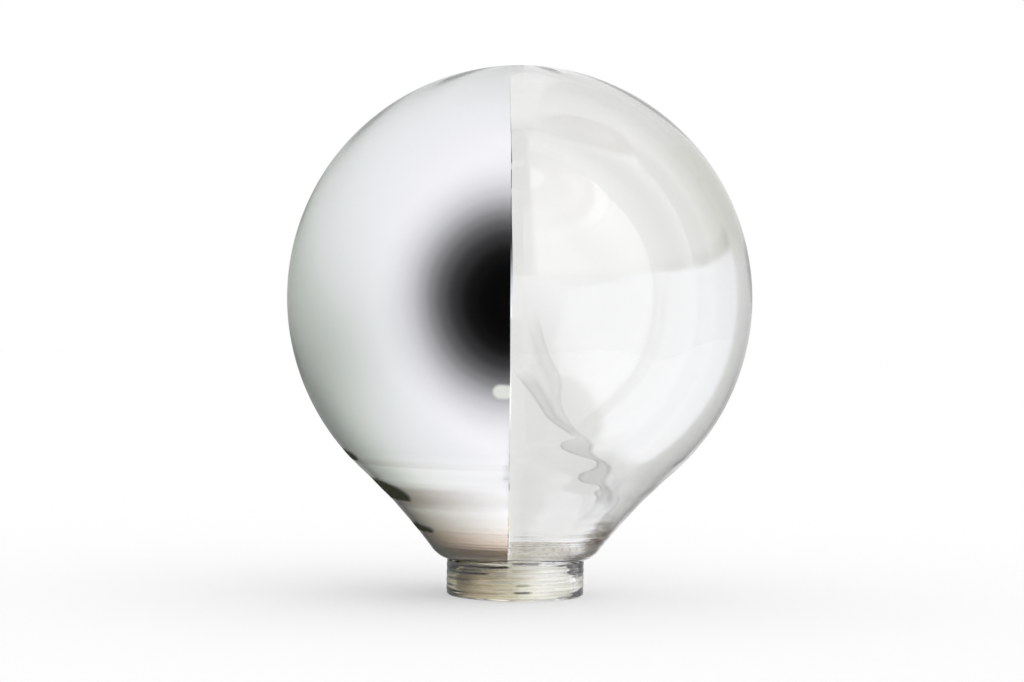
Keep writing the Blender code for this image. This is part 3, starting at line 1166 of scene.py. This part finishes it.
@dataclass
class ThreadedCollar:
    """The moulded ring at the foot, with a rounded right-hand thread."""

    outer_radius: float
    height: float
    bore_radius: float
    finish: MouldedCollar = MouldedCollar()
    depth: float = 0.10 * MM
    chamfer: float = 0.6 * MM
    chamfer_steps: tuple[float, ...] = (0.25, 0.5, 0.75, 0.95)
    edge_round: float = 0.15 * MM
    flatness: float = 1.0
    thread_rows: int = 96
    columns: int = 240
    sharp_degrees: float = 50.0

    def groove(self, heights: np.ndarray, turns: np.ndarray) -> np.ndarray:
        """Give the thread's depth at each point.

        Args:
            heights: Height of each point.
            turns: Angle of each point round the axis.

        Returns:
            Share of the full depth, 0 on a crest and 1 in a groove.
        """
        phase = FULL_TURN * heights / self.finish.pitch - turns
        return 0.5 + 0.5 * np.tanh(self.flatness * np.cos(phase)) / math.tanh(self.flatness)

    def section(self) -> np.ndarray:
        """Work out the ring's section: the threaded side downward, the chamfer, the foot and the bore.

        Returns:
            Rows of radius, height and share of the thread.
        """
        outer, bore, soft = self.outer_radius, self.bore_radius, self.edge_round
        rows = [(outer, height, 1.0) for height in np.linspace(self.height, self.chamfer, self.thread_rows)]
        rows += [(outer - self.chamfer * share, self.chamfer * (1 - share), 1.0 - share)
                 for share in self.chamfer_steps]
        rows += [(outer - self.chamfer - soft, 0.0, 0.0), (bore + soft, 0.0, 0.0), (bore, soft, 0.0),
                 (bore, self.height - soft, 0.0), (bore + soft, self.height, 0.0)]
        return np.array(rows)

    def build(self) -> bpy.types.Object:
        """Build the ring and dress it.

        Returns:
            The finished piece.
        """
        section = self.section()
        turns = np.arange(self.columns) * FULL_TURN / self.columns
        grid_turns = np.broadcast_to(turns, (len(section), self.columns))
        level = np.repeat(section[:, 1:2], self.columns, axis=1)
        limit = self.outer_radius - self.depth * self.groove(level, grid_turns)
        radius = np.where(section[:, 2:] > 0, np.minimum(section[:, :1], limit), section[:, :1])
        points = np.stack([radius * np.cos(grid_turns), radius * np.sin(grid_turns), level], axis=-1)
        piece = grid_object("moulded_collar", points, wraps=True, closes=True)
        tidy_mesh(piece, math.radians(self.sharp_degrees))
        piece.data.materials.append(self.finish.material())
        attach(piece, "threaded_collar")
        return piece


class Way:
    """The direction of a ray, by its parts and by its angles in degrees.

    The turn runs from the camera's side towards the silvered side, and the rise from the horizon up.
    """

    def __init__(self, tree: bpy.types.NodeTree) -> None:
        """Read the ray's direction in the world's node tree."""
        self.tree = tree
        self.vector = add_node(tree, Node.COORDINATES).outputs["Generated"]
        parts = add_node(tree, Node.SEPARATE, inputs={0: self.vector}).outputs
        self.x, self.y, self.z = (Signal(tree, part) for part in parts)
        self.turn = (-self.x).step("ARCTAN2", -self.y).step("DEGREES")
        self.rise = self.z.step("ARCSINE").step("DEGREES")

    def cosine(self, turn: float, rise: float) -> Signal:
        """Give the cosine of the angle to a direction, which is given in degrees."""
        flat = math.cos(math.radians(rise))
        middle = (-math.sin(math.radians(turn)) * flat, -math.cos(math.radians(turn)) * flat,
                  math.sin(math.radians(rise)))
        settings = {"operation": "DOT_PRODUCT"}
        node = add_node(self.tree, Node.VECTOR_MATH, settings, {0: self.vector, 1: middle})
        return Signal(self.tree, node.outputs["Value"])


@dataclass(frozen=True)
class Patch:
    """A round patch of the tent, in degrees: where its middle lies, where it is full and where it ends."""

    turn: float
    rise: float
    full: float
    end: float

    def mask(self, way: Way) -> Signal:
        """Give 1 in the patch and 0 outside it."""
        span = (math.cos(math.radians(self.end)), math.cos(math.radians(self.full)))
        return way.cosine(self.turn, self.rise).between(span)


@dataclass
class LightTent:
    """The white light tent, painted by direction in the room.

    The camera sees plain white. A ray that glass only bends sees white near the horizon and
    shade above it, which draws the dark lines of bright-field glass. A ray that a surface has
    reflected sees the tent as it is: the dark open front, the dim back corner on the silvered
    side, a small lamp, and a large soft box on the clear side. Angles are in degrees, and a
    wall's stops run from the camera's side to the back.
    """

    # Seen through glass, from straight down to straight up
    bent_stops: tuple[tuple[float, float], ...] = (
        (0.05, 0.88), (0.16, 0.64), (0.34, 0.68), (0.43, 0.965), (0.57, 0.965), (0.68, 0.80), (0.85, 0.90))
    # The open front, by angle from its middle
    front_rise: float = -1.5
    front_stops: tuple[tuple[float, float], ...] = (
        (0.0, 0.0045), (20.0, 0.005), (28.0, 0.021), (35.0, 0.072), (41.0, 0.18), (46.0, 0.34),
        (52.0, 0.56), (58.0, 0.75), (64.0, 0.88), (72.0, 0.98), (82.0, 1.0))
    lamp: str = "F2F4EE"
    lamp_patch: Patch = Patch(11.1, -46.9, 2.4, 4.6)
    # Where the silvered side's wall gives way to the clear side's, across the room
    sharp_meeting: Span = (-0.080, -0.058)
    soft_meeting: Span = (-0.42, 0.30)
    soft_away: Span = (0.25, 0.60)
    soft_rise: Span = (-35.0, -10.0)
    # Wall on the silvered side
    white: str = "F5F4F9"
    shaded_white: str = "EFF5EE"
    shading_gain: float = 2.2
    peak: float = 1.19
    low_peak: float = 1.20
    low_peak_rise: Span = (-58.0, -74.0)
    corner: str = "10130E"
    corner_turn: Span = (52.0, 180.0)
    corner_depth: float = 0.90
    corner_rise: float = -17.0
    corner_height: float = 29.0
    far_corner: Patch = Patch(176.0, -20.0, 5.0, 20.0)
    far_corner_cover: float = 0.45
    # Wall on the clear side, above and below
    wall_above: tuple[tuple[float, float], ...] = (
        (0.0, 0.55), (0.03, 0.64), (0.12, 1.0), (0.35, 0.92), (0.52, 0.52), (0.66, 0.80), (1.0, 0.90))
    wall_below: tuple[tuple[float, float], ...] = ((0.0, 0.06), (0.50, 0.20), (0.70, 0.10), (1.0, 0.06))
    side_wall_rise: Span = (-62.0, -30.0)
    back_wall_rise: Span = (-44.0, 20.0)
    back_wall_turn: Span = (128.0, 142.0)
    # White table seen low in the back
    table_across: Span = (0.30, 0.18)
    table_away: Span = (0.15, 0.35)
    table_rise: Span = (-4.0, -14.0)
    # Soft box above the camera's right
    upper_light: float = 2.05
    upper_far_side: Span = (80.0, 34.0)
    upper_near_side: Span = (4.0, 10.0)
    upper_foot: Span = (4.0, 15.0)
    upper_top: Span = (86.0, 46.0)
    # Wide soft box on the clear side, and the dark seam over it
    box_light: float = 3.5
    box_white: str = "F4F6FF"
    box_stops: tuple[tuple[float, float], ...] = (
        (0.0, 0.50), (0.17, 0.52), (0.40, 0.47), (0.60, 0.40), (0.75, 0.36))
    box_top: Span = (12.0, 9.5)
    box_end: Span = (137.0, 132.0)
    box_middle: float = 92.0
    box_lowest: float = -66.0
    box_foot_slope: float = 0.45
    box_foot_edge: Span = (-2.0, 6.0)
    seam_light: float = 0.06
    seam_cover: float = 0.55
    seam_rise: Span = (17.0, 12.5)
    seam_turn: Span = (55.0, 95.0)
    # The clear side's wall starts here, a little further round where it is low
    start_turn: Span = (-24.0, 24.0)
    start_slope: float = 0.75

    def build(self) -> bpy.types.World:
        """Make the world.

        Returns:
            The world.
        """
        world = bpy.data.worlds.new("white_tent")
        bpy.context.scene.world = world
        world.use_nodes = True
        tree = world.node_tree
        tree.nodes.clear()
        way = Way(tree)
        path = add_node(tree, Node.LIGHT_PATH).outputs
        unscattered = Signal(tree, path["Diffuse Depth"]) < 0.5
        bent = Signal(tree, path["Is Transmission Ray"]) * unscattered
        mirrored = (Signal(tree, path["Glossy Depth"]) > 0.5) * unscattered
        through_glass = (way.rise / 180.0 + 0.5).ramp(self.bent_stops, "EASE")
        colour = Tint(tree, grey(1.0)).mix(bent, through_glass).mix(mirrored, self.mirrored_view(way))
        back = add_node(tree, Node.BACKGROUND, inputs={"Color": colour, "Strength": 1.0})
        output = add_node(tree, Node.WORLD_OUTPUT)
        tree.links.new(back.outputs[0], output.inputs[0])
        return world

    def mirrored_view(self, way: Way) -> Tint:
        """Paint the tent as a mirror sees it.

        Args:
            way: Direction of the ray.

        Returns:
            The tent's colour.
        """
        aside = way.cosine(0.0, self.front_rise).step("ARCCOSINE").step("DEGREES") / 90.0
        lit = aside.ramp([(angle / 90.0, level) for angle, level in self.front_stops], "CARDINAL")
        upper_back = way.y.between(self.soft_away) * way.rise.between(self.soft_rise)
        sharp, soft = way.x.between(self.sharp_meeting), way.x.between(self.soft_meeting)
        tent = (self.silvered_side(way) * lit).mix(sharp.toward(soft, upper_back), self.clear_side(way))
        return tent.mix(self.lamp_patch.mask(way), linear(self.lamp))

    def silvered_side(self, way: Way) -> Tint:
        """Paint the tent's wall on the silvered side, which dims towards its low back corner.

        Args:
            way: Direction of the ray.

        Returns:
            The wall's colour.
        """
        swing = way.turn.between(self.corner_turn, self.corner_depth, smooth=False)
        drop = (way.rise - self.corner_rise) / self.corner_height
        dim = swing.step("DIVIDE", drop * drop + 1.0, clamp=True)
        greenish = dim.step("MULTIPLY", self.shading_gain, clamp=True)
        bright = Tint(way.tree, linear(self.white)).mix(greenish, linear(self.shaded_white))
        low = way.rise.between(self.low_peak_rise)
        bright *= Tint(way.tree, grey(self.peak)).mix(low, grey(self.low_peak))
        dimmed = bright.mix(dim, linear(self.corner))
        return dimmed.mix(self.far_corner.mask(way) * self.far_corner_cover, linear(self.corner))

    def clear_side(self, way: Way) -> Tint:
        """Paint the tent's wall on the clear side, with a wide soft box beside the camera and one above it.

        Args:
            way: Direction of the ray.

        Returns:
            The wall's colour.
        """
        right = (-way.turn).step("WRAP", 270.0, -90.0)
        along = right.step("DIVIDE", 180.0, clamp=True)
        level = way.rise.between(self.side_wall_rise).toward(
            way.rise.between(self.back_wall_rise), right.between(self.back_wall_turn))
        wall = along.ramp(self.wall_below, "EASE").mix(level, along.ramp(self.wall_above, "EASE"))
        table = way.x.between(self.table_across) * way.y.between(self.table_away)
        wall = wall.mix(table * way.rise.between(self.table_rise), grey(1.0))
        upper = right.between(self.upper_far_side) * right.between(self.upper_near_side)
        upper *= way.rise.between(self.upper_foot) * way.rise.between(self.upper_top)
        wall = wall.mix(upper, grey(self.upper_light))
        before_end = right.between(self.box_end)
        seam = way.rise.between(self.seam_rise) * right.between(self.seam_turn, self.seam_cover)
        wall = wall.mix(seam * before_end, grey(self.seam_light))
        lowest = abs(right - self.box_middle) * self.box_foot_slope + self.box_lowest
        box = (way.rise - lowest).between(self.box_foot_edge) * way.rise.between(self.box_top) * before_end
        wall = wall.mix(box, along.ramp(self.box_stops) * self.box_light * linear(self.box_white))
        return wall * (way.rise * self.start_slope + right).between(self.start_turn)


@dataclass
class Studio:
    """Pale floor and camera."""

    floor_size: float = 6.0
    floor_colour: str = "FFFFFF"
    camera_distance: float = 750.0 * MM
    pixels_per_metre: float = 3710.0
    frame_width: float = 1024.0
    frame_height: float = 682.0
    sensor_width: float = 36.0
    eye_height: float = 79.5 * MM
    eye_pixel: tuple[float, float] = (519.7, 300.0)
    roll_degrees: float = 0.95

    def build_camera(self) -> bpy.types.Object:
        """Place the camera so that the globe's axis falls where the photograph has it.

        Returns:
            The camera.
        """
        roll = math.radians(self.roll_degrees)
        right = Vector((math.cos(roll), 0.0, math.sin(roll)))
        up = Vector((-math.sin(roll), 0.0, math.cos(roll)))
        across = (self.frame_width / 2 - self.eye_pixel[0]) / self.pixels_per_metre
        down = (self.frame_height / 2 - self.eye_pixel[1]) / self.pixels_per_metre
        eye = Vector((0.0, -self.camera_distance, self.eye_height))
        aim = Vector((0.0, 0.0, self.eye_height)) + across * right - down * up
        back = (eye - aim).normalized()
        side = up.cross(back).normalized()
        over = back.cross(side)
        data = bpy.data.cameras.new("camera")
        data.sensor_width = self.sensor_width
        data.lens = self.pixels_per_metre * self.camera_distance / self.frame_width * self.sensor_width
        camera = bpy.data.objects.new("camera", data)
        bpy.context.scene.collection.objects.link(camera)
        turn = Matrix((side, over, back)).transposed().to_4x4()
        camera.matrix_world = Matrix.Translation(eye) @ turn
        bpy.context.scene.camera = camera
        return camera

    def build_floor(self) -> bpy.types.Object:
        """Lay the pale floor of matt paper. A reflected ray looks through it to the tent's own lower half.

        Returns:
            The floor.
        """
        half = self.floor_size / 2
        corners = np.array([[(x, y, 0.0) for y in (-half, half)] for x in (-half, half)])
        floor = grid_object("floor", corners, wraps=False, closes=False)
        material, tree, shader = new_material("paper_sweep_matt_white")
        tree.nodes.remove(shader)
        output = next(node for node in tree.nodes if node.type == "OUTPUT_MATERIAL")
        paper = add_node(tree, Node.DIFFUSE, inputs={"Color": linear(self.floor_colour)})
        clear = add_node(tree, Node.TRANSPARENT)
        mirrored = Signal(tree, add_node(tree, Node.LIGHT_PATH).outputs["Glossy Depth"]) > 0.5
        mix = add_node(tree, Node.MIX_SHADER, inputs={0: mirrored, 1: paper.outputs[0], 2: clear.outputs[0]})
        tree.links.new(mix.outputs[0], output.inputs["Surface"])
        floor.data.materials.append(material)
        return floor


def main() -> None:
    """Build the glass, the silvering, the collar and the studio round the frame."""
    logging.basicConfig(level=logging.INFO, format="%(message)s")
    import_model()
    glass_low, glass_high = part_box("globe_glass")
    collar_low, collar_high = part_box("threaded_collar")
    film_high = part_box("mirror_film")[1]
    globe_radius = (glass_high.x - glass_low.x) / 2
    outer_radius = (collar_high.y - collar_low.y) / 2
    neck_radius = outer_radius - THREAD_ROOT_DEPTH - COLLAR_WALL - BOND_GAP
    form = GlassForm(globe_radius=globe_radius, globe_height=glass_high.z - globe_radius,
                     neck_radius=neck_radius, neck_end=glass_low.z)
    pieces = [
        GlobeGlass(form).build(),
        MirrorFilm(form, edge=-film_high.x).build(),
        ThreadedCollar(outer_radius, form.shoulder_foot - DRESSED_GAP, neck_radius + DRESSED_GAP).build(),
    ]
    for piece in pieces:
        LOG.info("%s: %d faces", piece.name, len(piece.data.polygons))
    studio = Studio()
    studio.build_camera()
    studio.build_floor()
    LightTent().build()
    bpy.context.scene.view_settings.view_transform = "Standard"


if __name__ == "__main__":
    main()
